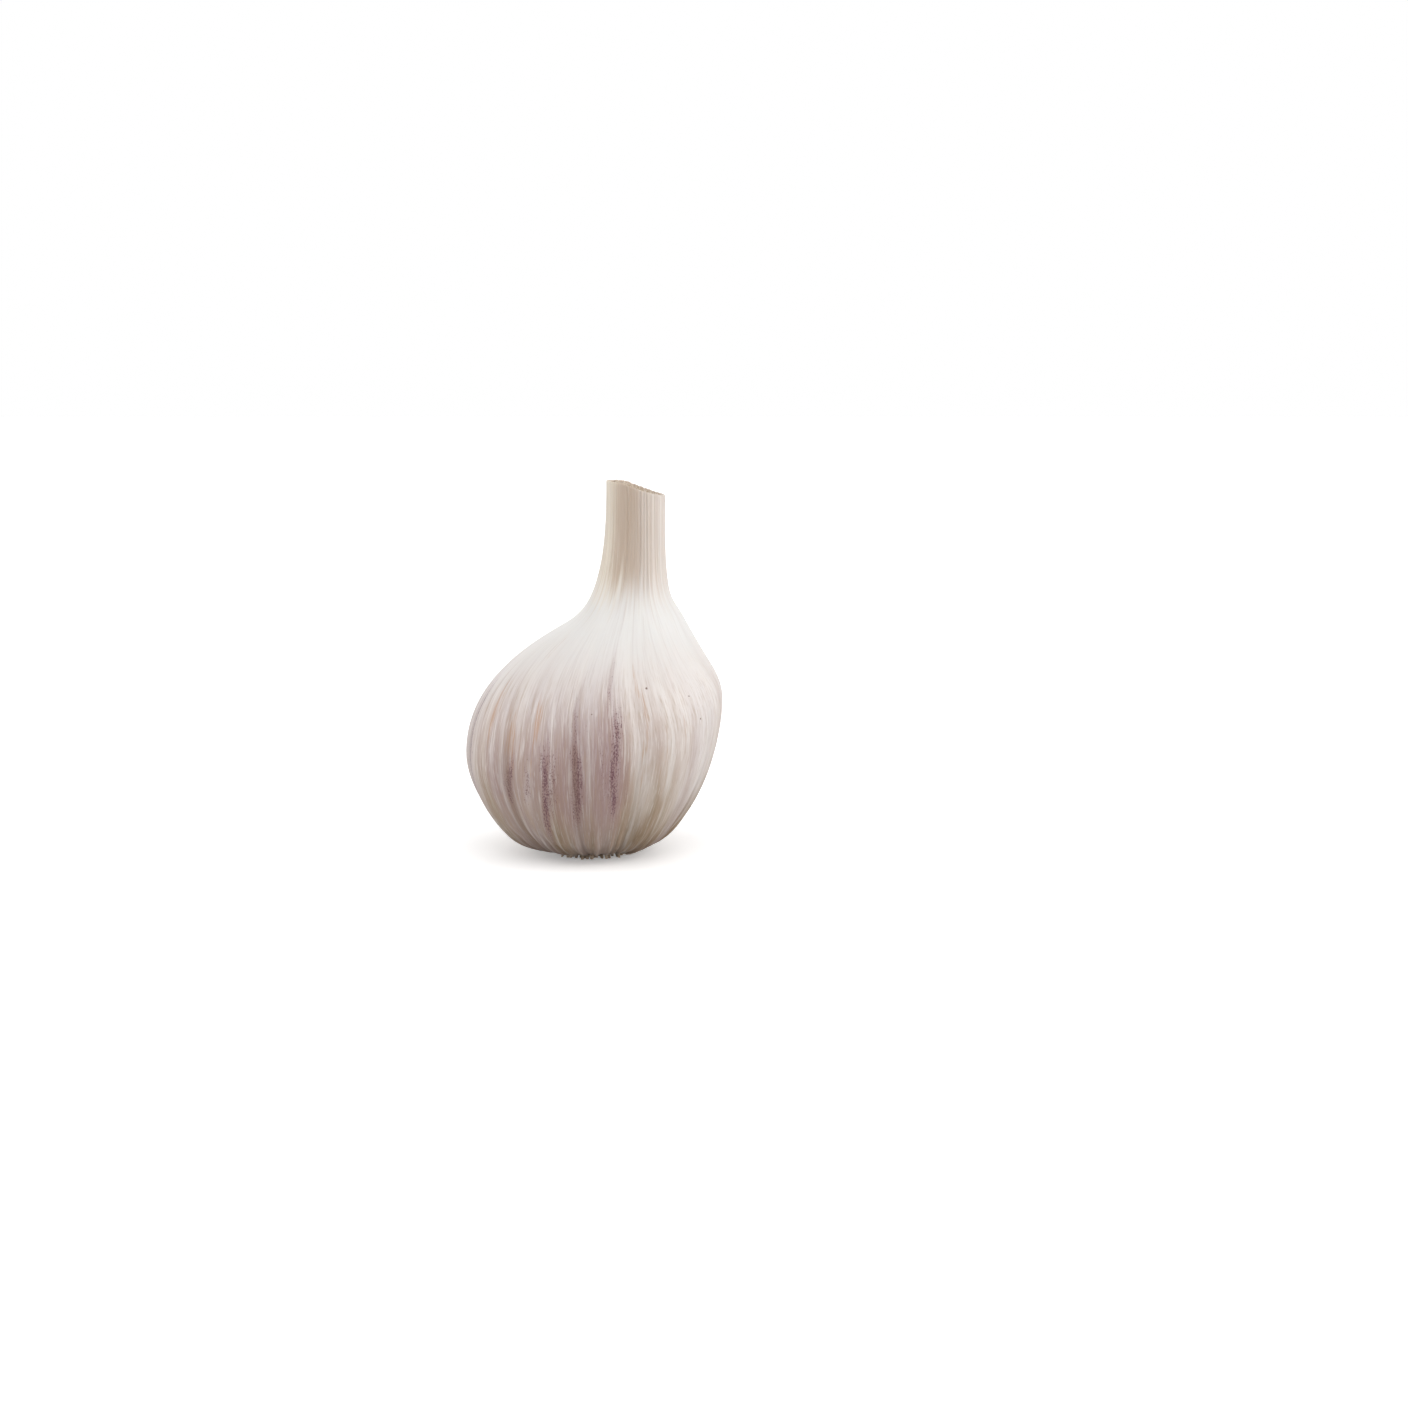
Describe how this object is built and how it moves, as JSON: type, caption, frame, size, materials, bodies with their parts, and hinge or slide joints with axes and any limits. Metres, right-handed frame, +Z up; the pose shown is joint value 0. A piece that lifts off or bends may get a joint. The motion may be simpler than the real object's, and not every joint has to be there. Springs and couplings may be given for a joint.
{
  "type": "garlic bulb",
  "caption": "Whole dried garlic bulb: a lopsided rounded body with shallow clove creases, a tall off-centre papery neck cut at a slant, and a flat root plate to stand on.",
  "frame": {"origin": "middle of the root plate, on the surface the bulb stands on", "axes": "+Z up along the neck; -Y the front; the neck stands off-centre towards +X, so the -X side of the body is the fuller one"},
  "size_m": [0.052, 0.0503, 0.0753],
  "materials": {
    "dried_skin": "dry papery skin with a faint satin sheen, off-white with purple-speckled streaks and tan fibres",
    "dried_roots": "matt, corky brown-grey root plate with trimmed root stubs"
  },
  "bodies": {
    "root": {"garlic_bulb": "dried_skin"}
  },
  "joints": []
}
